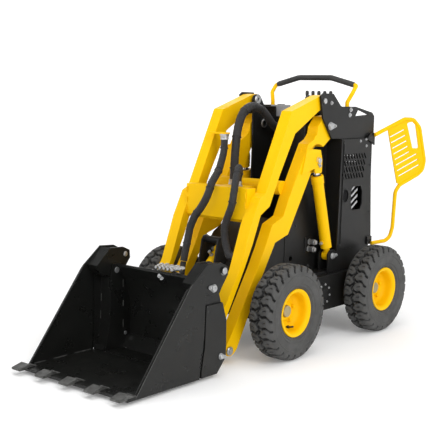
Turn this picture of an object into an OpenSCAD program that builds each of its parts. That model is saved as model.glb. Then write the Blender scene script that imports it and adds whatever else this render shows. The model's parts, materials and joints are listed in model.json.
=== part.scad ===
// Stand-on mini wheel loader with a four-in-one clamshell bucket.
// Millimetres. +X forward, +Y left, +Z up, ground at z = 0.
// Side-view outlines are drawn about the middle of the wheelbase, and every
// piece is then moved along X so that the origin is under the middle of the
// whole machine.

/* [Wheels] */
// Distance between the front and rear axles
wheelbase = 805; // [780:5:830]
// Distance between the middles of the left and right tyres
track = 790; // [790:2:820]
// Outside radius of a tyre
tyre_r = 235; // [230:1:238]
// Width of a tyre
tyre_w = 138; // [130:2:138]
// Radius of the stub axle in the wheel hub
axle_r = 28; // [24:1:30]

/* [Lift linkage] */
// Rear pivot of the lower arms, x
arm_x = -100; // [-104:1:-96]
// Rear pivot of the lower arms, z
arm_z = 1122; // [1118:1:1126]
// Step from the lower pivot to the upper pivot, x
link_dx = 60; // [58:1:62]
// Step from the lower pivot to the upper pivot, z
link_dz = 130; // [126:1:132]
// Front pivot of the lower arms, x
toe_x = 678; // [674:1:682]
// Front pivot of the lower arms, z
toe_z = 66; // [62:1:70]
// Radius of the lower arm pivot pins
arm_pin_r = 17.5; // [16:0.5:18]
// Radius of the upper arm pivot pins
link_pin_r = 14; // [12:0.5:15]

/* [Cylinders] */
// Lift barrel radius
lift_barrel_r = 30; // [27:1:30]
// Lift rod radius
lift_rod_r = 16; // [14:1:17]
// Tilt barrel radius
tilt_barrel_r = 27; // [24:1:28]
// Tilt rod radius
tilt_rod_r = 14; // [12:1:15]
// Jaw barrel radius
jaw_barrel_r = 20; // [18:1:20]
// Jaw rod radius
jaw_rod_r = 11; // [10:1:12]

/* [Body] */
// Half the width over the side panels
body_y = 282; // [280:1:284]
// Height of the top of the towers
tower_top = 1292; // [1288:1:1296]
// Height of the console deck
deck_z = 1150; // [1145:1:1155]
// Sheet thickness of the body
sheet_t = 8; // [6:1:8]

/* [Bucket] */
// Half the width over the jaw's side plates
bucket_y = 358; // [356:1:360]
// Height of the bucket's underside at rest
bucket_z = 16; // [14:1:18]
// Reach of the tooth tips
tooth_tip_x = 1488; // [1480:1:1495]
// Width of a tooth
tooth_w = 60; // [50:1:64]
// Number of teeth
tooth_n = 5; // [3:1:5]

/* [Guards and controls] */
// Radius of the yellow guard tube
guard_r = 11; // [10:0.5:12]
// Outward splay of the hip guards, degrees
guard_splay = 14; // [12:1:16]
// Number of control levers
lever_n = 5; // [3:1:5]
// Spacing of the control levers
lever_pitch = 40; // [36:1:42]

/* [Hidden] */
$fn = 48;

yellow = [0.98, 0.76, 0.02];
black = [0.13, 0.13, 0.13];
steel = [0.72, 0.72, 0.70];
rubber = [0.25, 0.25, 0.25];

// Pivots of the linkage in the side view, as [x, z]
A = [arm_x, arm_z];              // lower arm, rear
B = [arm_x + link_dx, arm_z + link_dz]; // upper arm, rear
C = [toe_x, toe_z];              // lower arm, front
D = [toe_x + link_dx, toe_z + link_dz]; // upper arm, front
P = [-12, 946];                  // lift rod eye on the lower arm
Q = [-150, 428];                 // lift barrel base on the frame
E = [455, 500];                  // tilt barrel base on the yoke
F = [750, 230];                  // tilt rod eye on the hitch
G = [505, 556];                  // upper tie of the yoke spine
T = [700, 230];                  // stub tubes from the yoke plates to the spine
J = [912, 420];                  // jaw pivot
H = [845, 491];                  // jaw rod eye on the horn
K = [855, 95];                   // jaw barrel base on the cheek

// Lateral slabs, as [inner, outer] distances from the middle plane
inner_plate = [170, 180];
upper_slab = [194, 258];
lower_slab = [194, 258];
outer_plate = [264, 274];
yoke_slab = [168, 180];
spine_slab = [46, 56];
hitch_slab = [150, 162];
lift_y = 242;                    // middle of the lift cylinders
jaw_cyl_y = 316;                 // middle of the jaw cylinders

// The hip guard's own plane: [distance from the hinge line, z]
guard_x = -505;
guard_y = 294;
guard_path = [[0, 1066], [228, 1152], [300, 1150], [352, 1104], [402, 915],
    [392, 862], [352, 834], [206, 778], [176, 742], [164, 540], [146, 486],
    [110, 466], [0, 460]];
guard_reach = 402 * cos(guard_splay) + guard_r;
// Move along X that puts the origin under the middle of the machine
shift_x = -(tooth_tip_x + guard_x - guard_reach) / 2;

module place() { translate([shift_x, 0, 0]) children(); }
module both() { children(); mirror([0, 1, 0]) children(); }
// Side-view outline (x, z) thickened from y0 to y1
module side(pts, y0, y1) {
    translate([0, y1, 0]) rotate([90, 0, 0]) linear_extrude(y1 - y0) polygon(pts);
}
module slab(pts, s) { side(pts, s[0], s[1]); }
// Round bar across the machine at side-view point p
module bar_y(p, r, y0, y1) {
    translate([p[0], y1, p[1]]) rotate([90, 0, 0]) cylinder(r = r, h = y1 - y0);
}
module box(lo, hi) { translate(lo) cube(hi - lo); }
// Round bar from p to q in space
module rod_to(p, q, r) {
    v = q - p;
    translate(p) rotate([0, acos(v[2] / norm(v)), atan2(v[1], v[0])])
        cylinder(r = r, h = norm(v));
}
// Bent tube through the points of a path, with ball corners
module tube(pts, r) {
    for (i = [0 : len(pts) - 2]) rod_to(pts[i], pts[i + 1], r);
    for (i = [1 : len(pts) - 2]) translate(pts[i]) sphere(r = r + 0.4);
}
// Cylinder laid along the line from p to q in the side view, from s0 to s1
module along(p, q, y, r, s0, s1) {
    v = (q - p) / norm(q - p);
    translate([p[0] + v[0] * s0, y, p[1] + v[1] * s0])
        rotate([0, 90 - atan2(v[1], v[0]), 0]) cylinder(r = r, h = s1 - s0);
}
// Hose swept along a route of points, with an eight-sided section
function unit(v) = v / norm(v);
function tangent(p, i) = unit(p[min(i + 1, len(p) - 1)] - p[max(i - 1, 0)]);
function ring(c, t, r, n, ref) = let (u = unit(cross(t, ref)), w = cross(t, u))
    [for (k = [0 : n - 1]) c + r * (cos(360 * k / n) * u + sin(360 * k / n) * w)];
module hose(p, r, n = 8, ref = [0, 1, 0.2]) {
    m = len(p);
    pts = [for (i = [0 : m - 1]) each ring(p[i], tangent(p, i), r, n, ref)];
    polyhedron(pts, concat([[for (k = [0 : n - 1]) k]],
        [for (i = [0 : m - 2]) for (k = [0 : n - 1])
            [i * n + k, (i + 1) * n + k, (i + 1) * n + (k + 1) % n, i * n + (k + 1) % n]],
        [[for (k = [n - 1 : -1 : 0]) (m - 1) * n + k]]), convexity = 6);
}

// ---------------------------------------------------------------- chassis
module chassis_tub() {
    color(black) place() {
        difference() {
            union() {
                box([-520, -266, 150], [-200, 266, 455]);
                box([-200, -266, 150], [150, 266, 350]);
            }
            box([-512, -258, 160], [-208, 258, 460]);
            box([-210, -258, 160], [142, 258, 342]);
        }
        // ears for the lift cylinders
        both() for (y = [[208, 218], [266, 276]]) difference() {
            side([[-192, 340], [-110, 340], [-110, 440], [-130, 460], [-170, 460], [-192, 436]],
                y[0], y[1]);
            bar_y(Q, 12.3, y[0] - 1, y[1] + 1);
        }
    }
}
front_out = [[150, 150], [372, 150], [372, 470], [300, 560], [150, 640]];
front_in = [[158, 158], [364, 158], [364, 467], [295, 553], [158, 627]];
module front_box() {
    color(black) place() difference() {
        side(front_out, -180, 180);
        side(front_in, -172, 172);
        // weep holes through the side walls
        bar_y([330, 200], 10, -190, 190);
    }
}
tower_in = [[-200, 455], [-200, 350], [150, 350], [150, 640], [40, 690], [0, 790],
    [-8, 1000], [-6, 1180], [-4, 1254], [-12, 1271], [-28, 1280], [-52, 1280], [-66, 1272], [-80, 1252], [-136, 1176], [-200, 1162]];
tower_out = [[-6, 1278], [-30, 1292], [-122, 1290], [-196, 1223], [-336, 1222],
    [-504, 1189], [-526, 1169], [-526, 1052], [-224, 1052], [-116, 1056], [-30, 1166]];
// Tie-down hole in the foot of each tower
tie = [95, 430];
tri_hole = [[-361, 1206], [-464, 1178], [-334, 1171]];
module tower() {
    difference() {
        slab(tower_in, inner_plate);
        bar_y(A, arm_pin_r + 0.3, 160, 190);
        bar_y(B, link_pin_r + 0.3, 160, 190);
        bar_y(tie, 14, 160, 190);
    }
    box([-212, 170, 455], [-200, 274, 1215]);
    difference() {
        slab(tower_out, outer_plate);
        side(tri_hole, 260, 280);
        bar_y(A, arm_pin_r + 0.3, 260, 280);
        bar_y(B, link_pin_r + 0.3, 260, 280);
    }
}
module left_tower() { color(black) place() tower(); }
module right_tower() { color(black) place() mirror([0, 1, 0]) tower(); }

panel_out = [[-201, 1050], [-487, 1050], [-520, 455], [-181, 455]];
// Slanted vents: [column, row] steps along the two directions
module side_panel() {
    difference() {
        union() {
            side(panel_out, 274, body_y);
            side([[-212, 1050], [-224, 1050], [-224, 455], [-212, 455]], 258, 274);
            side([[-504, 1050], [-512, 1050], [-512, 455], [-504, 455]], 258, 274);
        }
        // vent slots in rows that step back and up
        for (row = [0 : 3], col = [0 : 7])
            translate([-232 - col * 27 - row * 8, 270, 838 + row * 35]) rotate([0, 30, 0])
                cube([11, 20, 33]);
        // oval hand hole
        side([for (a = [0 : 15 : 345]) [-248 + 30 * cos(a), 744 + 35 * sin(a)]], 270, 290);
        // eight-sided opening
        side([[-318, 790], [-398, 790], [-414, 760], [-414, 690], [-398, 662],
            [-318, 662], [-303, 690], [-303, 760]], 270, 290);
    }
}
module left_side_panel() { color(black) place() side_panel(); }
module right_side_panel() { color(black) place() mirror([0, 1, 0]) side_panel(); }

module rear_panel() {
    color(black) place() {
        difference() {
            box([-520, -258, 455], [-512, 258, 1165]);
            for (z = [600 : 34 : 940]) box([-525, -170, z], [-505, 170, z + 16]);
        }
        // slotted guard that stands off the panel
        difference() {
            union() {
                box([-552, -200, 620], [-546, 200, 880]);
                for (y = [-196, 188]) box([-546, y, 640], [-520, y + 8, 660]);
                for (y = [-196, 188]) box([-546, y, 840], [-520, y + 8, 860]);
            }
            for (z = [650 : 44 : 840]) box([-560, -170, z], [-540, 170, z + 20]);
        }
    }
}
module front_panel() {
    color(black) place() {
        box([-212, -170, 455], [-200, 170, 1150]);
    }
}
module console_deck() {
    color(black) place() {
        difference() {
            box([-512, -264, deck_z], [-212, 264, deck_z + sheet_t]);
            for (i = [0 : lever_n - 1])
                translate([-377, (i - (lever_n - 1) / 2) * lever_pitch, deck_z - 1])
                    cylinder(r = 8, h = 20);
        }
        // lever cowl, open along the top for the levers
        difference() {
            box([-430, -120, deck_z + sheet_t], [-330, 120, 1222]);
            box([-422, -112, deck_z + sheet_t - 1], [-338, 112, 1230]);
        }
        // instrument box
        box([-330, -235, deck_z + sheet_t], [-262, -160, 1216]);
    }
}
module engine() {
    color([0.3, 0.3, 0.32]) place() box([-480, -200, 180], [-240, 200, 900]);
}
module chain_cases() {
    case_out = [[-490, 190], [-450, 150], [450, 150], [490, 190], [490, 300], [455, 335], [-455, 335], [-490, 300]];
    color(black) place() both() {
        side(case_out, 266, 298);
        bar_y([-40, 240], 62, 298, 305);
    }
}
module stub_axles() {
    color(steel) place() both() for (x = [-wheelbase / 2, wheelbase / 2]) {
        bar_y([x, tyre_r], axle_r, 298, track / 2 + 2);
        bar_y([x, tyre_r], 62, 298, 318);
    }
}
module tower_pins() {
    color(steel) place() both() {
        bar_y(A, arm_pin_r, 164, 284);
        bar_y(B, link_pin_r, 164, 282);
        bar_y(Q, 12, 202, 286);
    }
}
// Ends of the straight runs of the hand grip, and the bar's last bend
grip_a = [-338, 258, 1338];
grip_b = [-335, 109, 1376];
bar_bend = grip_a - 14 * (grip_b - grip_a) / norm(grip_b - grip_a);
module hand_bar() {
    color(yellow) place() both() {
        tube([[-284, 252, deck_z + sheet_t], [-284, 252, 1246], [-302, 272, 1294], bar_bend, grip_a], guard_r);
    }
}
module hand_grip() {
    color(black) place() tube([grip_a, grip_b, [grip_b[0], -grip_b[1], grip_b[2]], [grip_a[0], -grip_a[1], grip_a[2]]], 15);
}
module control_levers() {
    color(black) place() for (i = [0 : lever_n - 1])
        translate([-377, (i - (lever_n - 1) / 2) * lever_pitch, 0]) {
            translate([0, 0, 1100]) cylinder(r = 5, h = 172);
            translate([0, 0, 1268]) cylinder(r1 = 6, r2 = 9.5, h = 24);
            translate([0, 0, 1294]) sphere(r = 10);
        }
}
// Hand slots in the guard plate: left end of the first and last, and lengths
module guard_plate() {
    difference() {
        side([[96, 1102], [184, 790], [206, 780], [352, 834], [392, 862], [402, 915],
            [352, 1104], [300, 1150], [228, 1152]], -3, 3);
        side([[246, 1126], [298, 996], [312, 984], [336, 984], [348, 996], [318, 1110], [296, 1132], [262, 1136]], -5, 5);
        for (i = [0 : 7]) let (f = i / 7)
            translate([112 + 80 * f, -5, 1046 - 222 * f]) rotate([0, -20.6, 0])
                cube([i < 5 ? 128 : 182, 10, 9]);
    }
}
module hip_guard() {
    translate([guard_x, guard_y, 0]) rotate([0, 0, 180 - guard_splay]) {
        tube([for (p = guard_path) [p[0], 0, p[1]]], guard_r);
        guard_plate();
    }
    side([[-440, 1046], [-470, 1078], [-514, 1078], [-514, 1010]], body_y, body_y + 8);
    box([-516, body_y, 456], [-470, body_y + 8, 500]);
}
module hip_guards() { color(yellow) place() both() hip_guard(); }
module rear_step() {
    color(black) place() {
        box([-860, -220, 176], [-524, 220, 184]);
        both() side([[-520, 160], [-860, 160], [-860, 200], [-600, 200], [-520, 330]], 212, 220);
        box([-524, -220, 160], [-520, 220, 330]);
    }
}

// ---------------------------------------------------------------- wheels
// Sections as [radius, distance from the wheel's middle plane]
tyre_half = [[102.3, 48.2], [121, 48.2], [126, 60], [150, 67], [180, 69], [212, 64], [228, 55], [235, 42]];
function tyre_section() = let (k = tyre_w / 138, dr = tyre_r - 235)
    concat([for (p = tyre_half) [p[0] > 130 ? p[0] + dr : p[0], p[1] * k]],
        [for (i = [len(tyre_half) - 1 : -1 : 0]) let (p = tyre_half[i]) [p[0] > 130 ? p[0] + dr : p[0], -p[1] * k]]);
module tyre(x, s) {
    color(rubber) place() translate([x, s * track / 2, tyre_r]) rotate([90, 0, 0])
        rotate_extrude() polygon(tyre_section());
}
module rim(x, s) {
    k = tyre_w / 138;
    color(yellow) place() translate([x, s * track / 2, tyre_r]) rotate([s > 0 ? -90 : 90, 0, 0])
        rotate_extrude() polygon([[axle_r + 0.05, -60], [46, -60], [46, -6], [72, -6], [90, 18], [94, 18],
            [94, -56 * k], [118, -56 * k], [118, -48.6 * k], [102, -48.6 * k], [102, 48.6 * k],
            [118, 48.6 * k], [118, 56 * k], [94, 56 * k], [94, 26], [87, 26], [69, 2], [46, 2],
            [46, 16], [0, 16], [0, 4], [axle_r + 0.05, 4]]);
}
fx = wheelbase / 2;
module front_left_tyre() { tyre(fx, 1); }
module front_left_rim() { rim(fx, 1); }
module front_right_tyre() { tyre(fx, -1); }
module front_right_rim() { rim(fx, -1); }
module rear_left_tyre() { tyre(-fx, 1); }
module rear_left_rim() { rim(-fx, 1); }
module rear_right_tyre() { tyre(-fx, -1); }
module rear_right_rim() { rim(-fx, -1); }

// ---------------------------------------------------------------- loader arms
lower_out = [[-60, 1172], [-12, 1120], [-4, 1084], [24, 1054], [68, 1034], [179, 846], [222, 774], [271, 676], [359, 643], [414, 534], [475, 427], [638, 174],
    [700, 90], [704, 62], [690, 42], [664, 36], [636, 48], [618, 66], [440, 382], [333, 551], [228, 582], [-25, 990],
    [-140, 1066], [-152, 1140], [-120, 1176]];
lift_lug = [[-46, 946], [-44, 884], [-34, 878], [6, 878], [14, 884], [18, 905], [130, 880], [90, 1010], [-30, 1000]];
cross_low = [205, 812];
module lower_arms() {
    color(yellow) place() {
        both() {
            difference() {
                slab(lower_out, lower_slab);
                bar_y(P, 84, 208, 262);
                bar_y(A, arm_pin_r + 0.05, 190, 270);
                bar_y(C, 17, 190, 270);
            }
            side(lift_lug, 218, 226);
            side(lift_lug, 258, 266);
            bar_y(P, 18, 266, 272);
        }
        bar_y(cross_low, 36, -200, 200);
    }
}
upper_out = [[-76, 1262], [-72, 1232], [-52, 1216], [-19, 1203], [187, 1089], [308, 885], [383, 738], [453, 699], [512, 563],
    [572, 449], [662, 296], [704, 228], [712, 188], [726, 170], [748, 166], [762, 180], [764, 200], [756, 222], [609, 445],
    [527, 659], [460, 786], [418, 804], [219, 1201], [-26, 1279], [-66, 1282]];
cross_box = [[424, 826], [490, 826], [494, 672], [474, 656], [440, 664]];
module upper_arms() {
    color(yellow) place() {
        both() {
            difference() {
                slab(upper_out, upper_slab);
                bar_y(B, link_pin_r + 0.05, 190, 270);
            }
            bar_y(D, 12, 166, 196);
        }
        side(cross_box, -200, 200);
        // plates that the hoses are fastened to
        box([278, -200, 1076], [322, -92, 1084]);
        box([246, -110, 806], [430, 50, 814]);
    }
}
yoke_out = [[646, 56], [660, 36], [690, 36], [714, 58], [756, 176], [762, 200], [750, 226], [716, 254], [692, 256], [674, 240], [670, 210]];
spine_out = [[674, 212], [700, 202], [724, 216], [724, 248], [560, 440], [534, 556], [520, 574], [498, 578], [476, 566], [432, 516],
    [428, 494], [442, 474]];
module yoke() {
    color(black) place() {
        both() {
            difference() {
                slab(yoke_out, yoke_slab);
                bar_y(C, 15, 160, 190);
                bar_y(D, 12.05, 160, 190);
            }
            difference() {
                slab(spine_out, spine_slab);
                bar_y(E, 12.3, 40, 60);
            }
            bar_y(T, 20, 50, 170);
        }
        bar_y(G, 18, -50, 50);
    }
}
module toe_pins() {
    color(steel) place() both() bar_y(C, 14.95, 144, 270);
}
module yoke_pin() { color(steel) place() bar_y(E, 12, -62, 62); }

// ---------------------------------------------------------------- cylinders
module lift_barrels() {
    color(yellow) place() both() difference() {
        union() {
            along(Q, P, lift_y, lift_barrel_r, 46, 452);
            bar_y(Q, 26, 222, 262);
            along(Q, P, lift_y, 17, 10, 48);
        }
        bar_y(Q, 12.05, 215, 270);
        along(Q, P, lift_y, lift_rod_r + 0.3, 70, 460);
    }
}
module lift_rods() {
    color(steel) place() both() {
        along(Q, P, lift_y, lift_rod_r, 185, 520);
        bar_y(P, 25, 228, 256);
    }
}
module tilt_barrel() {
    color(yellow) place() difference() {
        union() {
            along(E, F, 0, tilt_barrel_r, 34, 290);
            bar_y(E, 25, -20, 20);
            along(E, F, 0, 18, 10, 36);
        }
        bar_y(E, 12.05, -30, 30);
        along(E, F, 0, tilt_rod_r + 0.3, 60, 300);
    }
}
module tilt_rod() {
    color(steel) place() {
        along(E, F, 0, tilt_rod_r, 122, 390);
        bar_y(F, 23, -18, 18);
    }
}
module jaw_barrels() {
    color(black) place() both() difference() {
        union() {
            along(K, H, jaw_cyl_y, jaw_barrel_r, 30, 250);
            bar_y(K, 22, 301, 331);
            along(K, H, jaw_cyl_y, 14, 10, 32);
        }
        bar_y(K, 10.05, 295, 340);
        along(K, H, jaw_cyl_y, jaw_rod_r + 0.3, 50, 260);
    }
}
module jaw_rods() {
    color(steel) place() both() {
        along(K, H, jaw_cyl_y, jaw_rod_r, 222, 385);
        bar_y(H, 20, 303, 329);
    }
}

// ---------------------------------------------------------------- bucket
ear_out = [[648, 62], [656, 42], [678, 35], [700, 40], [806, 92], [806, 200], [790, 200], [700, 98], [664, 92]];
hitch_lug = [[806, 130], [806, 256], [772, 254], [752, 258], [728, 248], [722, 228], [734, 206]];
module hitch() {
    color(black) place() {
        both() {
            difference() {
                slab(ear_out, hitch_slab);
                bar_y(C, 15, 140, 170);
            }
            side(hitch_lug, 24, 36);
            bar_y(F, 16, 36, 42);
        }
        box([806, -163, 88], [818, 163, 258]);
    }
}
back_out = [[985, bucket_z + 2], [880, bucket_z + 2], [818, 85], [818, 258], [854, 373], [900, 448], [908, 442],
    [862, 369], [826, 256], [826, 89], [885, bucket_z + 10], [985, bucket_z + 10]];
cheek_out = [[985, bucket_z + 2], [880, bucket_z + 2], [818, 85], [818, 258], [854, 373], [880, 450], [936, 452],
    [950, 415], [962, 153], [983, 47]];
module mouldboard() {
    color(black) place() {
        side(back_out, -278, 278);
        both() for (y = [[270, 278], [338, 346]]) difference() {
            side(cheek_out, y[0], y[1]);
            bar_y(J, 15.3, y[0] - 1, y[1] + 1);
            bar_y(K, 10.3, y[0] - 1, y[1] + 1);
        }
        // rear half of the outer side plate, flush with the jaw
        both() difference() {
            side([[880, bucket_z + 2], [985, bucket_z + 2], [985, 48], [964, 156], [956, 345], [846, 345], [818, 258], [818, 85]], 346, bucket_y);
            bar_y(K, 10.3, 340, bucket_y + 2);
        }
        // bar that ties the two cheeks on each side
        both() bar_y([930, 60], 12, 278, 338);
        both() bar_y([905, 300], 10, 278, 338);
        // front wall of each side column
        both() side([[951, 375], [962, 153], [983, 47], [975, 47], [955, 152], [944, 375]], 278, 338);
    }
}
module jaw_pins() {
    color(steel) place() both() {
        bar_y(J, 14.95, 268, 366);
        bar_y(K, 10, 268, 364);
    }
}
jaw_out = [[1399, bucket_z], [1068, 438], [1048, 458], [947, 536], [860, 530], [816, 508], [812, 470], [870, 396],
    [915, 386], [962, 400], [972, 158], [993, 52], [1000, bucket_z]];
horn_out = [[1034, 454], [947, 532], [860, 528], [816, 508], [812, 470], [870, 396], [915, 386], [1000, 402]];
module jaw() {
    color(black) place() {
        both() {
            difference() {
                side(jaw_out, 348, bucket_y);
                bar_y(J, 15, 340, 370);
            }
            difference() {
                side(horn_out, 281, 289);
                bar_y(J, 15, 270, 300);
            }
            side([[985, 404], [1000, 404], [1034, 454], [947, 532], [941, 525], [1019, 456]], 289, 348);
            bar_y(H, 18, bucket_y, bucket_y + 6);
        }
        box([1000, -348, bucket_z], [1390, 348, bucket_z + 10]);
        box([1380, -bucket_y, bucket_z], [1442, bucket_y, bucket_z + 14]);
    }
}
tooth_out = [[1392, bucket_z + 14], [1432, bucket_z + 32], [tooth_tip_x, bucket_z + 18], [tooth_tip_x, bucket_z + 8],
    [1442.2, bucket_z + 8], [1442.2, bucket_z + 14]];
module teeth() {
    pitch = 2 * (bucket_y - tooth_w / 2) / (tooth_n - 1);
    color([0.35, 0.35, 0.35]) place() for (i = [0 : tooth_n - 1])
        side(tooth_out, (i - (tooth_n - 1) / 2) * pitch - tooth_w / 2, (i - (tooth_n - 1) / 2) * pitch + tooth_w / 2);
}

// ---------------------------------------------------------------- hoses
arch_route = [[-199.8, -110, 1098], [-160, -110, 1098], [-120, -110, 1108], [-83, -110, 1134], [-23, -110, 1186], [30, -110, 1210],
    [80, -108, 1217], [130, -104, 1205], [172, -98, 1178], [206, -92, 1134], [230, -86, 1080], [246, -80, 1020], [257, -76, 960],
    [265, -72, 900], [269, -70, 850], [269, -70, 814.6]];
arm_route = [[300, -112, 1075.4], [300, -112, 1040], [312, -106, 985], [346, -92, 936], [400, -62, 898], [462, -28, 874], [518, -6, 842],
    [552, 0, 788], [562, -30, 728], [568, -70, 676], [576, -92, 622], [592, -96, 556], [612, -95, 490], [622, -95, 450]];
toe_route = [[622.5, -95, 448], [632, -95, 400], [639, -95, 340], [641, -95, 280], [642, -95, 230], [650, -95, 190], [664, -95, 160]];
bucket_route = [[666.4, -95, 156.6], [684, -95, 132], [712, -95, 112], [744, -95, 104], [776, -95, 104], [805.6, -95, 104]];
tilt_route = [[340, 16, 814.6], [340, 16, 846], [352, 34, 890], [398, 70, 916], [450, 106, 906], [498, 134, 868], [526, 146, 808],
    [532, 138, 742], [528, 110, 684], [524, 88, 630], [528, 94, 576], [544, 122, 530], [566, 160, 500], [566, 193.4, 500]];
module arch_hose() { color(rubber) place() hose(arch_route, 24); }
module arm_hose() { color(rubber) place() hose(arm_route, 20); }
module tilt_hose() { color(rubber) place() hose(tilt_route, 20, 8, [1, -1, 0]); }
module toe_hose() { color(rubber) place() hose(toe_route, 16); }
module bucket_hose() { color(rubber) place() hose(bucket_route, 16); }

chassis_tub();
front_box();
left_tower();
right_tower();
left_side_panel();
right_side_panel();
rear_panel();
front_panel();
console_deck();
engine();
chain_cases();
stub_axles();
tower_pins();
hand_bar();
hand_grip();
control_levers();
hip_guards();
rear_step();
front_left_tyre();
front_left_rim();
front_right_tyre();
front_right_rim();
rear_left_tyre();
rear_left_rim();
rear_right_tyre();
rear_right_rim();
lower_arms();
toe_pins();
upper_arms();
yoke();
yoke_pin();
lift_barrels();
lift_rods();
tilt_barrel();
tilt_rod();
hitch();
mouldboard();
jaw_pins();
jaw();
teeth();
jaw_barrels();
jaw_rods();
arch_hose();
arm_hose();
tilt_hose();
toe_hose();
bucket_hose();
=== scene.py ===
import json
import math

import bmesh
import bpy
import numpy as np
from mathutils import Matrix, Vector


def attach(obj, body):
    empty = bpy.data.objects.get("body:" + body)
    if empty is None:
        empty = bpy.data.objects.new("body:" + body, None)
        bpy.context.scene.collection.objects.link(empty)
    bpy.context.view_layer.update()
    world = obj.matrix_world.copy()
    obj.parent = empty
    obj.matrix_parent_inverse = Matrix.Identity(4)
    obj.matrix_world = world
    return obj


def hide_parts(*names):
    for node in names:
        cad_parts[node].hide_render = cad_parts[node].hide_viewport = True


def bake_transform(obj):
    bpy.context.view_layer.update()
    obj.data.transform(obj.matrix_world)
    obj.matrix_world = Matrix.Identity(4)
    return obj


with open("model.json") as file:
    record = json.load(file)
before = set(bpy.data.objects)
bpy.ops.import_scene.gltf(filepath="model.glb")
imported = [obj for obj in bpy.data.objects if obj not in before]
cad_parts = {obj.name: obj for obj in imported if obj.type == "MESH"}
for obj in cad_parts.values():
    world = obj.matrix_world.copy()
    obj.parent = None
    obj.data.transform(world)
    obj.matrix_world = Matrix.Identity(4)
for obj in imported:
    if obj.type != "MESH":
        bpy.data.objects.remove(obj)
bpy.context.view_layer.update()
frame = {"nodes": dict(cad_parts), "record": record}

SX = -290.97  # the drawing's x, in mm, is moved by this much in the row frame
NODES = frame["nodes"]
SCENE = bpy.context.scene


def P(x, y, z):
    """A point of the drawing, in mm, as a point of the row frame, in metres."""
    return Vector(((x + SX) / 1000, y / 1000, z / 1000))


# ------------------------------------------------------------------ camera
def make_camera():
    yaw, pitch, roll = (math.radians(v) for v in (40.67, 7.7, 0.83))
    fwd = Vector((-math.cos(yaw) * math.cos(pitch), -math.sin(yaw) * math.cos(pitch), -math.sin(pitch)))
    right = fwd.cross(Vector((0, 0, 1))).normalized()
    up = right.cross(fwd)
    r2 = right * math.cos(roll) + up * math.sin(roll)
    u2 = -right * math.sin(roll) + up * math.cos(roll)
    data = bpy.data.cameras.new("camera")
    data.sensor_width = 36.0
    data.sensor_fit = "HORIZONTAL"
    data.lens = 969.18 / 440 * 36.0
    data.clip_start, data.clip_end = 0.1, 200
    data.dof.use_dof = False
    cam = bpy.data.objects.new("camera", data)
    SCENE.collection.objects.link(cam)
    m = Matrix((r2, u2, -fwd)).transposed().to_4x4()
    m.translation = P(4131.55, 3157.15, 1306.31)
    cam.matrix_world = m
    SCENE.camera = cam


make_camera()
SCENE.view_settings.view_transform = "Standard"


# ------------------------------------------------------------------ materials
class Mat:
    """A small helper around one node material."""

    def __init__(self, name):
        self.m = bpy.data.materials.new(name)
        self.m.use_nodes = True
        self.nt = self.m.node_tree
        self.b = self.nt.nodes["Principled BSDF"]
        self.co = self.nt.nodes.new("ShaderNodeTexCoord")

    def node(self, kind, **sockets):
        n = self.nt.nodes.new(kind)
        for k, v in sockets.items():
            key = int(k[1:]) if k[0] == "_" and k[1:].isdigit() else k.replace("_", " ")
            self.put(n.inputs[key], v)
        return n

    def put(self, sock, v):
        if isinstance(v, bpy.types.NodeSocket):
            self.nt.links.new(v, sock)
        else:
            sock.default_value = v

    def noise(self, scale, detail=3.0, rough=0.5, where=None, dist=0.0):
        n = self.node("ShaderNodeTexNoise", Scale=scale, Detail=detail, Roughness=rough, Distortion=dist)
        self.put(n.inputs["Vector"], where or self.co.outputs["Object"])
        return n.outputs["Fac"]

    def ramp(self, fac, stops):
        n = self.nt.nodes.new("ShaderNodeValToRGB")
        self.put(n.inputs["Fac"], fac)
        e = n.color_ramp.elements
        while len(e) < len(stops):
            e.new(0.5)
        for k, (pos, col) in enumerate(stops):
            e[k].position = pos
            e[k].color = (*col, 1)
        return n.outputs["Color"]

    def remap(self, fac, a, b, lo=0.3, hi=0.7):
        n = self.node("ShaderNodeMapRange", From_Min=lo, From_Max=hi, To_Min=a, To_Max=b)
        self.put(n.inputs["Value"], fac)
        return n.outputs["Result"]

    def math(self, op, a, b=None):
        n = self.nt.nodes.new("ShaderNodeMath")
        n.operation = op
        self.put(n.inputs[0], a)
        if b is not None:
            self.put(n.inputs[1], b)
        return n.outputs[0]

    def mix(self, fac, a, b):
        n = self.nt.nodes.new("ShaderNodeMix")
        n.data_type = "RGBA"
        self.put(n.inputs["Factor"], fac)
        self.put(n.inputs[6], a if isinstance(a, bpy.types.NodeSocket) else (*a, 1))
        self.put(n.inputs[7], b if isinstance(b, bpy.types.NodeSocket) else (*b, 1))
        return n.outputs[2]

    def bump(self, height, strength, dist):
        n = self.node("ShaderNodeBump", Strength=strength, Distance=dist)
        self.put(n.inputs["Height"], height)
        self.put(self.b.inputs["Normal"], n.outputs["Normal"])

    def set(self, **k):
        for name, v in k.items():
            self.put(self.b.inputs[name.replace("_", " ")], v)
        return self


def shade(c, k):
    return tuple(min(1.0, v * k) for v in c)


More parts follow.
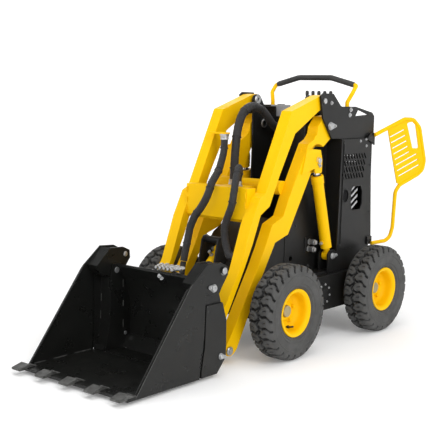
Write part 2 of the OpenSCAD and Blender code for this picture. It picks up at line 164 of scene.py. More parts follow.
def paint(name, base, rough, spread=0.05, peel=0.03, metal=0.0, dust=0.0, gloss=0.5):
    m = Mat(name)
    m.b.inputs["Specular IOR Level"].default_value = gloss
    soft = m.noise(3.5, 4.0, 0.55)
    col = m.ramp(soft, [(0.3, shade(base, 1 - spread)), (0.7, shade(base, 1 + spread))])
    if dust:
        sep = m.node("ShaderNodeSeparateXYZ")
        m.put(sep.inputs[0], m.co.outputs["Object"])
        low = m.remap(sep.outputs["Z"], 1.0, 0.0, 0.05, 0.55)
        speck = m.remap(m.noise(9.0, 4.0, 0.55), 0.0, 1.0, 0.3, 0.75)
        col = m.mix(m.math("MULTIPLY", m.math("MULTIPLY", low, speck), dust), col, (0.22, 0.2, 0.17))
    m.put(m.b.inputs["Base Color"], col)
    m.put(m.b.inputs["Roughness"], m.remap(m.noise(11.0, 5.0, 0.6), rough - 0.06, rough + 0.08))
    m.bump(m.noise(420.0, 2.0, 0.5), peel, 0.001)
    m.set(Metallic=metal)
    return m.m


def make_materials():
    M = {}
    M["yellow_paint"] = paint("yellow_paint", (0.90, 0.52, 0.0015), 0.40, 0.03, 0.05, gloss=0.09)
    M["black_paint"] = paint("black_paint", (0.0088, 0.0088, 0.0086), 0.36, 0.08, 0.04, dust=0.02, gloss=0.24)
    M["bucket_paint"] = paint("bucket_paint", (0.0075, 0.0078, 0.0072), 0.30, 0.08, 0.03, dust=0.014, gloss=0.27)
    M["zinc_steel"] = paint("zinc_steel", (0.46, 0.465, 0.47), 0.36, 0.16, 0.16, metal=0.85)
    # ground and plated rods with a fine turned grain
    m = Mat("chrome_rod")
    m.put(m.b.inputs["Base Color"], m.ramp(m.noise(6.0), [(0.3, (0.68, 0.69, 0.7)), (0.7, (0.78, 0.79, 0.8))]))
    m.put(m.b.inputs["Roughness"], m.remap(m.noise(60.0, 4.0), 0.12, 0.24))
    m.bump(m.noise(900.0, 2.0), 0.04, 0.0005)
    m.set(Metallic=1.0)
    M["chrome_rod"] = m.m
    # tyre rubber, greyish with pale dusting, with painted shade that makes the tread grooves near-black
    m = Mat("tyre")
    col = m.ramp(m.noise(9.0, 6.0, 0.65), [(0.3, (0.044, 0.044, 0.043)), (0.72, (0.076, 0.076, 0.074))])
    col = m.mix(m.remap(m.noise(60.0, 4.0, 0.7), 0.0, 0.3, 0.5, 0.8), col, (0.085, 0.083, 0.078))
    # painted shade: where the groove attribute marks a groove, the rubber colour is mixed towards near-black
    groove_shade_node = m.nt.nodes.new("ShaderNodeAttribute")
    groove_shade_node.attribute_name = "groove"
    m.put(m.b.inputs["Base Color"], m.mix(groove_shade_node.outputs["Fac"], col, (0.006, 0.006, 0.006)))
    m.put(m.b.inputs["Roughness"], m.remap(m.noise(24.0, 4.0), 0.68, 0.86))
    m.bump(m.noise(260.0, 4.0, 0.6), 0.22, 0.0015)
    M["tyre"] = m.m
    # woven sleeve: two crossing sets of threads in the tube's own coordinates
    m = Mat("hose_sleeve")
    uv = m.node("ShaderNodeSeparateXYZ")
    m.put(uv.inputs[0], m.co.outputs["UV"])
    a = m.math("ADD", m.math("MULTIPLY", uv.outputs["X"], 40.0), m.math("MULTIPLY", uv.outputs["Y"], 420.0))
    b = m.math("SUBTRACT", m.math("MULTIPLY", uv.outputs["X"], 40.0), m.math("MULTIPLY", uv.outputs["Y"], 420.0))
    sa = m.math("SINE", m.math("MULTIPLY", a, 2 * math.pi))
    sb = m.math("SINE", m.math("MULTIPLY", b, 2 * math.pi))
    weave = m.remap(m.math("MULTIPLY", sa, sb), 0.0, 1.0, -1.0, 1.0)
    big = m.noise(28.0, 4.0, 0.6)
    col = m.ramp(weave, [(0.2, (0.003, 0.003, 0.004)), (0.8, (0.021, 0.021, 0.023))])
    m.put(m.b.inputs["Base Color"], m.mix(m.remap(big, 0.0, 0.45, 0.4, 0.75), col, (0.036, 0.035, 0.036)))
    m.put(m.b.inputs["Roughness"], m.remap(big, 0.46, 0.66))
    m.bump(m.math("ADD", weave, m.math("MULTIPLY", big, 2.0)), 0.55, 0.0016)
    M["hose_sleeve"] = m.m
    # foam sleeve on the hand bar
    m = Mat("foam_grip")
    m.put(m.b.inputs["Base Color"], m.ramp(m.noise(30.0, 5.0), [(0.3, (0.026, 0.026, 0.025)), (0.7, (0.04, 0.04, 0.039))]))
    m.put(m.b.inputs["Roughness"], m.remap(m.noise(80.0), 0.7, 0.88))
    m.bump(m.noise(700.0, 3.0, 0.7), 0.35, 0.001)
    M["foam_grip"] = m.m
    # moulded plastic
    m = Mat("black_plastic")
    m.put(m.b.inputs["Base Color"], m.ramp(m.noise(20.0), [(0.3, (0.014, 0.014, 0.014)), (0.7, (0.022, 0.022, 0.022))]))
    m.put(m.b.inputs["Roughness"], m.remap(m.noise(40.0), 0.28, 0.4))
    m.bump(m.noise(500.0), 0.05, 0.0008)
    M["black_plastic"] = m.m
    # tooth steel: dark with scuffed, greyer patches
    m = Mat("worn_steel")
    col = m.ramp(m.noise(30.0, 6.0, 0.7), [(0.35, (0.045, 0.045, 0.042)), (0.7, (0.12, 0.12, 0.115))])
    m.put(m.b.inputs["Base Color"], col)
    m.put(m.b.inputs["Roughness"], m.remap(m.noise(45.0, 5.0), 0.36, 0.6))
    m.bump(m.noise(160.0, 5.0, 0.65), 0.25, 0.001)
    m.set(Metallic=0.35)
    M["worn_steel"] = m.m
    M["engine_block"] = paint("engine_block", (0.03, 0.03, 0.032), 0.6, 0.2, 0.4)
    # weld bead under paint
    m = Mat("weld_bead")
    m.put(m.b.inputs["Base Color"], m.ramp(m.noise(60.0, 4.0), [(0.3, (0.018, 0.018, 0.017)), (0.75, (0.11, 0.11, 0.105))]))
    m.put(m.b.inputs["Roughness"], m.remap(m.noise(90.0), 0.28, 0.5))
    m.bump(m.noise(300.0, 3.0), 0.4, 0.001)
    M["weld_bead"] = m.m
    # rubber of valves, boots and ties
    m = Mat("black_rubber")
    m.put(m.b.inputs["Base Color"], m.ramp(m.noise(35.0), [(0.3, (0.012, 0.012, 0.012)), (0.7, (0.024, 0.024, 0.023))]))
    m.put(m.b.inputs["Roughness"], m.remap(m.noise(60.0), 0.5, 0.7))
    m.bump(m.noise(300.0), 0.1, 0.001)
    M["black_rubber"] = m.m
    # open joints and recesses: a near-black matte finish, painted shade standing in for the dark inside gaps and holes
    M["joint_line"] = paint("joint_line", (0.0018, 0.0018, 0.0018), 0.8, 0.2, 0.05, gloss=0.03)
    # instrument casing
    M["hub_steel"] = paint("hub_steel", (0.34, 0.31, 0.19), 0.5, 0.14, 0.2, metal=0.3)
    M["grey_case"] = paint("grey_case", (0.46, 0.46, 0.47), 0.4, 0.06, 0.15, metal=0.2)
    return M


MATS = make_materials()
SLOT_OF = {sp["node"]: sp["material_slot"] for sp in frame["record"]["subparts"]}
BODY_OF = {n: b for b, ns in frame["record"]["behaviour"]["bodies"].items() for n in ns}


# ------------------------------------------------------------------ mesh tools
def make_object(name, verts, faces, mat, uvs=None, smooth=True, sharp=None):
    me = bpy.data.meshes.new(name)
    me.from_pydata([tuple(v) for v in verts], [], [tuple(f) for f in faces])
    if uvs is not None:
        layer = me.uv_layers.new(name="uv")
        flat = [c for f in uvs for c in f]
        layer.data.foreach_set("uv", np.array(flat, np.float32).ravel())
    me.validate()
    me.polygons.foreach_set("use_smooth", [smooth] * len(me.polygons))
    if sharp:
        me.set_sharp_from_angle(angle=math.radians(sharp))
    me.materials.append(MATS[mat] if isinstance(mat, str) else mat)
    o = bpy.data.objects.new(name, me)
    SCENE.collection.objects.link(o)
    return o


def spline(points, step=0.012):
    """Centripetal Catmull-Rom curve through the points, at even steps."""
    p = [Vector(q) for q in points]
    p = [p[0] * 2 - p[1]] + p + [p[-1] * 2 - p[-2]]
    out = []
    for i in range(1, len(p) - 2):
        p0, p1, p2, p3 = p[i - 1:i + 3]
        t0 = 0.0
        t1 = t0 + max((p1 - p0).length, 1e-6) ** 0.5
        t2 = t1 + max((p2 - p1).length, 1e-6) ** 0.5
        t3 = t2 + max((p3 - p2).length, 1e-6) ** 0.5
        n = max(2, int((p2 - p1).length / step))
        for k in range(n):
            t = t1 + (t2 - t1) * k / n
            a1 = p0 * ((t1 - t) / (t1 - t0)) + p1 * ((t - t0) / (t1 - t0))
            a2 = p1 * ((t2 - t) / (t2 - t1)) + p2 * ((t - t1) / (t2 - t1))
            a3 = p2 * ((t3 - t) / (t3 - t2)) + p3 * ((t - t2) / (t3 - t2))
            b1 = a1 * ((t2 - t) / (t2 - t0)) + a2 * ((t - t0) / (t2 - t0))
            b2 = a2 * ((t3 - t) / (t3 - t1)) + a3 * ((t - t1) / (t3 - t1))
            out.append(b1 * ((t2 - t) / (t2 - t1)) + b2 * ((t - t1) / (t2 - t1)))
    out.append(p[-2].copy())
    return out


def fillet(points, radius, steps=8):
    """The polyline with each inner corner turned into an arc of that radius, or less where there is no room."""
    p = [Vector(q) for q in points]
    out = [p[0]]
    for i in range(1, len(p) - 1):
        a, b = (p[i - 1] - p[i]), (p[i + 1] - p[i])
        la, lb = a.length, b.length
        a.normalize()
        b.normalize()
        half = math.acos(max(-1, min(1, a.dot(b)))) / 2
        if half > math.radians(88):
            out.append(p[i])
            continue
        cut = min(radius / math.tan(half), la * 0.48, lb * 0.48)
        r = cut * math.tan(half)
        mid = (a + b).normalized()
        centre = p[i] + mid * (r / math.sin(half))
        s, e = p[i] + a * cut - centre, p[i] + b * cut - centre
        turn = s.angle(e)
        for k in range(steps + 1):
            f = k / steps
            out.append(centre + (s * math.sin((1 - f) * turn) + e * math.sin(f * turn)) / math.sin(turn))
    out.append(p[-1])
    return out


def frames(path):
    """Tangents and twist-free side vectors along a path."""
    n = len(path)
    tan = [(path[min(i + 1, n - 1)] - path[max(i - 1, 0)]).normalized() for i in range(n)]
    ref = Vector((0, 0, 1)) if abs(tan[0].z) < 0.8 else Vector((1, 0, 0))
    u = (ref - tan[0] * ref.dot(tan[0])).normalized()
    us = [u]
    for i in range(1, n):
        u = (us[-1] - tan[i] * us[-1].dot(tan[i])).normalized()
        us.append(u)
    return tan, us


def tube_data(path, radius, n=16, lobes=None, offset=0):
    """Vertices, faces and uvs of a closed tube; radius may be a function of the distance along it."""
    tan, us = frames(path)
    verts, faces, uvs = [], [], []
    s = 0.0
    dist = []
    for i, c in enumerate(path):
        if i:
            s += (path[i] - path[i - 1]).length
        dist.append(s)
        w = tan[i].cross(us[i])
        r = radius(s) if callable(radius) else radius
        for k in range(n):
            th = 2 * math.pi * k / n
            rr = r * (lobes(th, s) if lobes else 1.0)
            verts.append(c + us[i] * (rr * math.cos(th)) + w * (rr * math.sin(th)))
    for i in range(len(path) - 1):
        for k in range(n):
            k2 = (k + 1) % n
            faces.append((offset + i * n + k, offset + i * n + k2, offset + (i + 1) * n + k2, offset + (i + 1) * n + k))
            uvs.append([(k / n, dist[i]), ((k + 1) / n, dist[i]), ((k + 1) / n, dist[i + 1]), (k / n, dist[i + 1])])
    m = len(path) - 1
    faces.append(tuple(offset + k for k in range(n - 1, -1, -1)))
    uvs.append([(0, 0)] * n)
    faces.append(tuple(offset + m * n + k for k in range(n)))
    uvs.append([(0, 0)] * n)
    return verts, faces, uvs


def length_of(path):
    return sum((path[i + 1] - path[i]).length for i in range(len(path) - 1))


# ------------------------------------------------------------------ hoses
ROUTES = {
    "arch_hose": ([[-199.8, -110, 1098], [-160, -110, 1098], [-120, -110, 1108], [-83, -110, 1134], [-23, -110, 1186], [30, -110, 1210],
                   [80, -108, 1217], [130, -104, 1205], [172, -98, 1178], [206, -92, 1134], [230, -86, 1080], [246, -80, 1020],
                   [257, -76, 960], [265, -72, 900], [269, -70, 850], [269, -70, 814.6]], 24),
    "arm_hose": ([[300, -112, 1075.4], [300, -112, 1040], [312, -106, 985], [346, -92, 936], [400, -62, 898], [462, -28, 874],
                  [518, -6, 842], [552, 0, 788], [562, -30, 728], [568, -70, 676], [576, -92, 622], [592, -96, 556], [612, -95, 490],
                  [622, -95, 450]], 20),
    "tilt_hose": ([[340, 16, 814.6], [340, 16, 846], [352, 34, 890], [398, 70, 916], [450, 106, 906], [498, 134, 868], [526, 146, 808],
                   [532, 138, 742], [528, 110, 684], [524, 88, 630], [528, 94, 576], [544, 122, 530], [566, 160, 500],
                   [566, 193.4, 500]], 20),
    "toe_hose": ([[622.5, -95, 448], [632, -95, 400], [639, -95, 340], [641, -95, 280], [642, -95, 230], [650, -95, 190]], 16),
    "bucket_hose": ([[650, -95, 190], [664, -95, 160], [684, -95, 132], [712, -95, 112], [744, -95, 104], [776, -95, 104],
                     [805.6, -95, 104]], 16),
}
HOSE_RIDES = {"arm_hose": "upper_arms", "tilt_hose": "upper_arms"}
HOSE_BLENDS = {
    "arch_hose": ("chassis", "upper_arms", P(-150, -110, 1100), P(150, -105, 1190)),
    "toe_hose": ("upper_arms", "yoke", P(626, -95, 430), P(645, -95, 205)),
    "bucket_hose": ("yoke", "bucket", P(655, -95, 180), P(760, -95, 104)),
}


def make_hoses():
    for name, (route, r) in ROUTES.items():
        path = spline([P(*q) for q in route], 0.009)
        rad = r / 1000
        n = 28

        def lobes(th, s, k=len(name)):
            # two hoses lie side by side inside the sleeve, slowly twisting, and the cloth is rumpled over them
            rumple = math.sin(s * 235 + 1.8 * math.sin(2 * th + s * 31 + k)) + 0.9 * math.sin(3 * th + s * 140 + 2.2 * math.sin(s * 43 + k))
            return 0.938 + 0.034 * math.cos(2 * th + s * 7.0 + k) + 0.0145 * rumple

        verts, faces, uvs = tube_data(spline([P(*q) for q in route], 0.0052), rad, n, lobes)
        ties = []
        total = length_of(path)
        tan, us = frames(path)
        # cable ties round the sleeve
        gap = 0.16
        d, nxt = 0.0, 0.07
        for i in range(1, len(path)):
            d += (path[i] - path[i - 1]).length
            if d >= nxt and d < total - 0.04:
                nxt += gap
                t, u = tan[i], us[i]
                w = t.cross(u)
                off = len(verts)
                prof = [(rad * 1.0, -0.0028), (rad + 0.0016, -0.0024), (rad + 0.0016, 0.0024), (rad * 1.0, 0.0028), (rad * 0.93, 0.0028), (rad * 0.93, -0.0028)]
                m = 24
                for k in range(m):
                    th = 2 * math.pi * k / m
                    for rr, aa in prof:
                        verts.append(path[i] + t * aa + u * (rr * math.cos(th)) + w * (rr * math.sin(th)))
                q = len(prof)
                for k in range(m):
                    for j in range(q):
                        a, b = off + k * q + j, off + k * q + (j + 1) % q
                        c, e = off + ((k + 1) % m) * q + (j + 1) % q, off + ((k + 1) % m) * q + j
                        ties.append(len(faces))
                        faces.append((a, b, c, e))
                        uvs.append([(0, 0)] * 4)
        o = make_object(name + "_sleeve", verts, faces, "hose_sleeve", uvs, sharp=50)
        o.data.materials.append(MATS["black_rubber"])
        if ties and len(o.data.polygons) == len(faces):
            idx = np.zeros(len(faces), np.int32)
            idx[ties] = 1
            o.data.polygons.foreach_set("material_index", idx)
        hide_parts(name)
        if name in HOSE_RIDES:
            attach(o, HOSE_RIDES[name])
        else:
            a, b, s, e = HOSE_BLENDS[name]
            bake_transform(o)
            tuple(e)


make_hoses()


# ------------------------------------------------------------------ stage
def make_stage():
    # a floor that turns up into a far round wall, so no horizon line shows
    prof = [(0.0, 0.0), (6.0, 0.0), (12.0, 0.0)] + [(12 + 8 * math.sin(a), 8 - 8 * math.cos(a)) for a in np.linspace(0.08, math.pi / 2, 14)] + [(20.0, 16.0)]
    n = 64
    verts = [(0, 0, 0)]
    for r, z in prof[1:]:
        verts += [(r * math.cos(2 * math.pi * k / n), r * math.sin(2 * math.pi * k / n), z) for k in range(n)]
    faces = [(0, 1 + k, 1 + (k + 1) % n) for k in range(n)]
    for j in range(len(prof) - 2):
        for k in range(n):
            faces.append((1 + j * n + k, 1 + (j + 1) * n + k, 1 + (j + 1) * n + (k + 1) % n, 1 + j * n + (k + 1) % n))
    m = Mat("studio_floor")
    m.put(m.b.inputs["Base Color"], m.ramp(m.noise(0.6), [(0.3, (0.93, 0.93, 0.93)), (0.7, (0.95, 0.95, 0.95))]))
    m.set(Roughness=0.75)
    m.b.inputs["Specular IOR Level"].default_value = 0.1
    # the wall glows a little, so that it stays as pale as the lit floor in front of it
    far = m.nt.nodes.new("ShaderNodeVectorMath")
    far.operation = "LENGTH"
    m.put(far.inputs[0], m.co.outputs["Object"])
    m.b.inputs["Emission Color"].default_value = (1, 1, 1, 1)
    m.put(m.b.inputs["Emission Strength"], m.remap(far.outputs["Value"], 0.12, 0.44, 2.0, 9.0))
    floor = make_object("floor", verts, faces, m.m)
    world = bpy.data.worlds.new("world")
    world.use_nodes = True
    world.node_tree.nodes["Background"].inputs[0].default_value = (1, 1, 1, 1)
    world.node_tree.nodes["Background"].inputs[1].default_value = 0.27
    SCENE.world = world
    lights = (("key", (1.8, 5.0, 4.4), 3.0, 140), ("front", (5.5, 0.4, 2.4), 2.4, 24), ("rim", (-4.5, -3.5, 5.0), 3.0, 45),
              ("top", (0.3, 0.0, 6.5), 5.0, 150))
    for name, loc, size, power in lights:
        d = bpy.data.lights.new(name, "AREA")
        d.size = size
        d.energy = power
        o = bpy.data.objects.new(name, d)
        SCENE.collection.objects.link(o)
        o.location = loc
        o.rotation_mode = "QUATERNION"
        o.rotation_quaternion = (Vector((0, 0, 0.6)) - Vector(loc)).to_track_quat("-Z", "Y")


make_stage()


# ------------------------------------------------------------------ kept CAD nodes: rounded edges and finish
BEVEL = {"lower_arms": 3.0, "upper_arms": 3.0, "mouldboard": 1.6, "jaw": 2.0, "teeth": 2.2, "left_tower": 1.6, "right_tower": 1.6,
         "left_side_panel": 1.0, "right_side_panel": 1.0, "rear_panel": 0.9, "chassis_tub": 2.0, "front_box": 3.0, "console_deck": 1.6,
         "chain_cases": 2.5, "rear_step": 1.4, "yoke": 2.0, "hitch": 2.0, "engine": 4.0, "lift_barrels": 2.0, "tilt_barrel": 2.0,
         "jaw_barrels": 1.6, "lift_rods": 1.2, "tilt_rod": 1.2, "jaw_rods": 1.2, "stub_axles": 1.5, "tower_pins": 1.5, "toe_pins": 1.5,
         "yoke_pin": 1.2, "jaw_pins": 1.5, "front_panel": 1.5}
BUCKET = ("mouldboard", "jaw", "hitch", "jaw_barrels")


def dress(name):
    o = NODES[name]
    slot = SLOT_OF[name]
    o.data.materials.clear()
    o.data.materials.append(MATS["bucket_paint"] if name in BUCKET else MATS["hub_steel"] if name == "stub_axles" else MATS[slot])
    if name not in BEVEL:
        return
    w = o.modifiers.new("weld", "WELD")
    w.merge_threshold = 2e-5
    d = o.modifiers.new("flat", "DECIMATE")
    d.decimate_type = "DISSOLVE"
    d.angle_limit = math.radians(0.4)
    b = o.modifiers.new("round", "BEVEL")
    b.width = BEVEL[name] / 1000
    b.segments = 2
    b.limit_method = "ANGLE"
    b.angle_limit = math.radians(28)
    b.use_clamp_overlap = True
    n = o.modifiers.new("normals", "WEIGHTED_NORMAL")
    n.keep_sharp = False
    n.weight = 60


for node_name in NODES:
    dress(node_name)


# ------------------------------------------------------------------ hardware collected into one mesh per body and finish
BINS = {}


def bin_of(body, mat):
    key = (body, mat)
    if key not in BINS:
        BINS[key] = [[], []]
    return BINS[key]


def add(body, mat, verts, faces):
    v, f = bin_of(body, mat)
    off = len(v)
    v.extend(verts)
    f.extend(tuple(off + i for i in face) for face in faces)


def basis(axis):
    a = Vector(axis).normalized()
    ref = Vector((0, 0, 1)) if abs(a.z) < 0.9 else Vector((1, 0, 0))
    u = (ref - a * ref.dot(a)).normalized()
    return a, u, a.cross(u)


def lathe(body, mat, centre, axis, profile, n=24, scale=0.001):
    """A turned piece: profile is (radius, height along the axis) in mm, from the axis round to the axis."""
    a, u, w = basis(axis)
    c = Vector(centre)
    verts, rows = [], []
    for r, h in profile:
        r, h = r * scale, h * scale
        if r < 1e-7:
            rows.append([len(verts)])
            verts.append(c + a * h)
        else:
            rows.append(list(range(len(verts), len(verts) + n)))
            for k in range(n):
                th = 2 * math.pi * k / n
                verts.append(c + a * h + u * (r * math.cos(th)) + w * (r * math.sin(th)))
    faces = []
    for p, q in zip(rows, rows[1:]):
        for k in range(n):
            k2 = (k + 1) % n
            if len(p) == 1 and len(q) == 1:
                continue
            if len(p) == 1:
                faces.append((p[0], q[k2], q[k]))
            elif len(q) == 1:
                faces.append((p[k], p[k2], q[0]))
            else:
                faces.append((p[k], p[k2], q[k2], q[k]))
    add(body, mat, verts, [tuple(reversed(f)) for f in faces])


def bolt(body, centre, axis, r=9.0, h=7.0, washer=True, mat="zinc_steel", spin=0.0):
    """Hexagon head with a chamfered top, on a washer."""
    a, u, w = basis(axis)
    c = Vector(centre)
    h0 = 0.0
    if washer:
        lathe(body, mat, c, a, [(0, 0), (r * 1.55, 0), (r * 1.55, 1.4), (r * 1.4, 1.9), (0, 1.9)], 20)
        h0 = 1.9
    verts, faces = [], []
    for rr, hh in ((r, h0), (r, h0 + h * 0.82), (r * 0.86, h0 + h)):
        for k in range(6):
            th = math.pi / 3 * k + spin
            verts.append(c + a * (hh / 1000) + u * (rr / 1000 * math.cos(th)) + w * (rr / 1000 * math.sin(th)))
    for j in range(2):
        for k in range(6):
            k2 = (k + 1) % 6
            faces.append((j * 6 + k, j * 6 + k2, (j + 1) * 6 + k2, (j + 1) * 6 + k))
    faces.append(tuple(12 + k for k in range(6)))
    faces.append(tuple(5 - k for k in range(6)))
    add(body, mat, verts, faces)


def plate(body, mat, outline, axis_y, t, side_sign):
    """A flat plate in the side view: outline in drawing mm, standing t mm out from y = axis_y; its edge is chamfered."""
    n = len(outline)
    cx = sum(p[0] for p in outline) / n
    cz = sum(p[1] for p in outline) / n
    rim = min(0.3 * t, 2.0)
    layers = ((1.0, 0.0), (1.0, t - rim), (0.94, t)) if t < 20 else ((1.0, 0.0), (1.0, t * 0.5), (1.0, t))
    verts = []
    for k, d in layers:
        for x, z in outline:
            verts.append(P(cx + (x - cx) * k, (axis_y + d) * side_sign, cz + (z - cz) * k))
    faces = []
    for j in range(2):
        for i in range(n):
            i2 = (i + 1) % n
            faces.append((j * n + i, j * n + i2, (j + 1) * n + i2, (j + 1) * n + i))
    faces.append(tuple(2 * n + i for i in range(n)))
    faces.append(tuple(n - 1 - i for i in range(n)))
    add(body, mat, verts, faces)


def teardrop(cx, cz, r, reach, angle, small=0.42, n=14):
    """Outline of a pin's retaining plate: a round end at the pin and a narrower end at its screw."""
    pts = []
    a = math.radians(angle)
    ex, ez = cx + reach * math.cos(a), cz + reach * math.sin(a)
    for k in range(n + 1):
        th = a + math.pi / 2 + math.pi * k / n
        pts.append((cx + r * math.cos(th), cz + r * math.sin(th)))
    for k in range(n // 2 + 1):
        th = a - math.pi / 2 + math.pi * k / (n // 2)
        pts.append((ex + r * small * math.cos(th), ez + r * small * math.sin(th)))
    return pts


def pin_end(body, p, y, r, reach, angle, s):
    """A pivot pin's head with its retaining plate and screw, on the outside face at y."""
    ax = (0, s, 0)
    plate(body, "zinc_steel", teardrop(p[0], p[1], r * 1.25, reach, angle), y, 5.0, s)
    lathe(body, "zinc_steel", P(p[0], s * (y + 4), p[1]), ax, [(0, 0), (r, 0), (r, 6), (r - 1.5, 7.5), (4, 7.5), (3, 6.5), (0, 6.5)], 28)
    a = math.radians(angle)
    bolt(body, P(p[0] + reach * math.cos(a), s * (y + 4.5), p[1] + reach * math.sin(a)), ax, 6.0, 5.0)


def tube(body, mat, points, r, bend=0.03, n=12, step=None):
    path = fillet([P(*q) for q in points], bend) if step is None else spline([P(*q) for q in points], step)
    v, f, _ = tube_data(path, r / 1000, n)
    add(body, mat, v, f)


def bead(body, pts, r=3.0, mat="weld_bead"):
    """A weld bead with ripples along a line of drawing points."""
    path = [P(*q) for q in pts]
    fine = []
    for p, q in zip(path, path[1:]):
        k = max(2, int((q - p).length / 0.0035))
        fine += [p.lerp(q, i / k) for i in range(k)]
    fine.append(path[-1])
    v, f, _ = tube_data(fine, lambda s: r / 1000 * (0.86 + 0.2 * abs(math.sin(s * 480))), 8)
    add(body, mat, v, f)


A, B, C, D = (-100, 1122), (-40, 1252), (678, 66), (738, 196)
PP, Q, J, H, K = (-12, 946), (-150, 428), (912, 420), (845, 491), (855, 95)


def fittings():
    for s in (1, -1):
        # pivot pins with their retaining plates
        pin_end("chassis", A, 274, 17.5, 38, 180, s)
        pin_end("chassis", Q, 276, 14, 30, 176, s)
        pin_end("lower_arms", PP, 266, 15, 30, 252, s)
        pin_end("bucket", J, 358, 15.5, 28, 14, s)
        pin_end("bucket", K, 358, 12, 26, 196, s)
        pin_end("jaw", H, 358, 16, 1, 60, s)
        # head of the upper arm: pin nut outside and big pin head inside
        lathe("chassis", "zinc_steel", P(B[0], s * 274, B[1]), (0, s, 0), [(0, 0), (14, 0), (14, 2), (12, 3), (0, 3)], 24)
        bolt("chassis", P(B[0], s * 277, B[1]), (0, s, 0), 8, 6, False)
        bolt("chassis", P(-104, s * 274, 1242), (0, s, 0), 7, 6)
        lathe("chassis", "zinc_steel", P(B[0], s * 170, B[1]), (0, -s, 0), [(0, 0), (26, 0), (26, 5), (22, 8), (9, 8), (7, 6), (0, 6)], 28)
        lathe("chassis", "zinc_steel", P(A[0], s * 170, A[1]), (0, -s, 0), [(0, 0), (24, 0), (24, 4), (21, 6), (0, 6)], 28)
        # toe of the lower arm
        lathe("yoke", "zinc_steel", P(C[0], s * 262, C[1]), (0, s, 0), [(0, 0), (21, 0), (21, 5), (18, 7.5), (0, 7.5)], 28)
        bolt("yoke", P(C[0], s * 269, C[1]), (0, s, 0), 12, 7, False)
        # outer plate and guard bracket bolts
        for x, z in ((-288, 1206), (-280, 1178)):
            bolt("chassis", P(x, s * 274, z), (0, s, 0), 8, 6)
        for x, z in ((-382, 1036), (-438, 1044), (-442, 1008)):
            bolt("chassis", P(x, s * 282, z), (0, s, 0), 5, 4)
        for x, z in ((-504, 478), (-482, 478)):
            bolt("chassis", P(x, s * 290, z), (0, s, 0), 5, 4, mat="black_rubber")
        # side panel screws
        for x, z in ((-220, 1030), (-220, 760), (-206, 480), (-492, 640), (-486, 900), (-505, 480)):
            bolt("chassis", P(x, s * 282, z), (0, s, 0), 5, 3.5, mat="black_rubber")
        # bolt ring on the chain case
        for k in range(8):
            th = 2 * math.pi * k / 8 + 0.2
            bolt("chassis", P(-40 + 52 * math.cos(th), s * 305, 240 + 52 * math.sin(th)), (0, s, 0), 4.0, 3.5)
        lathe("chassis", "black_paint", P(-40, s * 305, 240), (0, s, 0), [(0, 0), (30, 0), (30, 5), (26, 8), (10, 9), (0, 9)], 32)
        # tower foot bolts
        for x, z in ((-60, 372), (20, 372), (120, 372), (120, 560), (60, 600)):
            bolt("chassis", P(x, s * 180, z), (0, s, 0), 7, 5, mat="black_rubber")
        # hydraulic ports beside the foot of the lift cylinder
        for k, (x, z) in enumerate(((-60, 505), (-52, 468))):
            lathe("chassis", "zinc_steel", P(x, s * 181, z), (0, s, 0),
                  [(0, 0), (17, 0), (17, 9), (13, 10), (13, 26), (15.5, 27), (15.5, 42), (12, 43), (12, 50), (0, 50)], 6)
        plate("chassis", "black_paint", [(-92, 446), (-24, 446), (-24, 530), (-92, 530)], 180, 6.0, s)
        # lift cylinder: gland nut, seal and port, on the barrel
        v = (Vector((PP[0], 0, PP[1])) - Vector((Q[0], 0, Q[1]))).normalized()
        def on_axis(t):
            return P(Q[0] + v.x * t, s * 242, Q[1] + v.z * t)
        lathe("lift_barrels", "yellow_paint", on_axis(408), v, [(30, 0), (33.5, 0), (34, 1), (34, 41), (33, 43), (28, 44.6), (17.2, 44.6)], 40)
        lathe("lift_barrels", "black_rubber", on_axis(452.4), v, [(17, 0), (22, 0), (21, 4), (17, 5)], 32)
        # port at the foot of the barrel, on its front side
        c = P(Q[0] + v.x * 84 + 28 * v.z, s * 242, Q[1] + v.z * 84 - 28 * v.x)
        out = Vector((v.z, 0, -v.x))
        lathe("lift_barrels", "yellow_paint", c, out, [(0, 0), (12, 0), (12, 7), (0, 7)], 20)
        lathe("lift_barrels", "zinc_steel", c + out * 0.007, out, [(0, 0), (9, 0), (9, 7), (7, 8), (7, 16), (0, 16)], 6)
    # hose end fittings on the cross box and the bracket of the upper arms
    for x, y, z, r, up in ((269, -70, 812, 24, 1), (340, 16, 812, 20, 1), (300, -112, 1077, 20, -1)):
        lathe("upper_arms", "zinc_steel", P(x, y, z), (0, 0, up), [(0, 0), (r + 5, 0), (r + 5, 9), (r + 3, 11), (0, 11)], 6)
        lathe("upper_arms", "zinc_steel", P(x, y, z), (0, 0, up), [(0, 10), (r + 1.2, 10), (r + 1.6, 14), (r + 0.6, 16), (r + 1.6, 18), (r + 0.6, 20), (r + 1.6, 22),
                                                                 (r + 1.2, 30), (r - 4, 31), (0, 31)], 28)
    # tilt cylinder
    e, f = Vector((455, 0, 500)), Vector((750, 0, 230))
    v = (f - e).normalized()
    def on_tilt(t):
        return P(e.x + v.x * t, 0, e.z + v.z * t)
    lathe("tilt_barrel", "black_paint", on_tilt(252), v, [(27, 0), (31, 0), (31.5, 1), (31.5, 37), (30, 39), (26, 40), (15.2, 40)], 36)
    for t in (60, 232):
        c = P(e.x + v.x * t - v.z * 26, 0, e.z + v.z * t + v.x * 26)
        out = Vector((-v.z, 0, v.x))
        lathe("tilt_barrel", "zinc_steel", c, out, [(0, 0), (11, 0), (11, 7), (8, 8), (8, 20), (10, 21), (10, 30), (0, 30)], 6)
    # jaw cylinders: gland nuts
    k3, h3 = Vector((K[0], 0, K[1])), Vector((H[0], 0, H[1]))
    v = (h3 - k3).normalized()
    for s in (1, -1):
        c = P(K[0] + v.x * 222, s * 316, K[1] + v.z * 222)
        lathe("jaw_barrels", "zinc_steel", c, v, [(20, 0), (22, 0.5), (22, 26), (20, 28), (12, 28.6)], 28)


fittings()


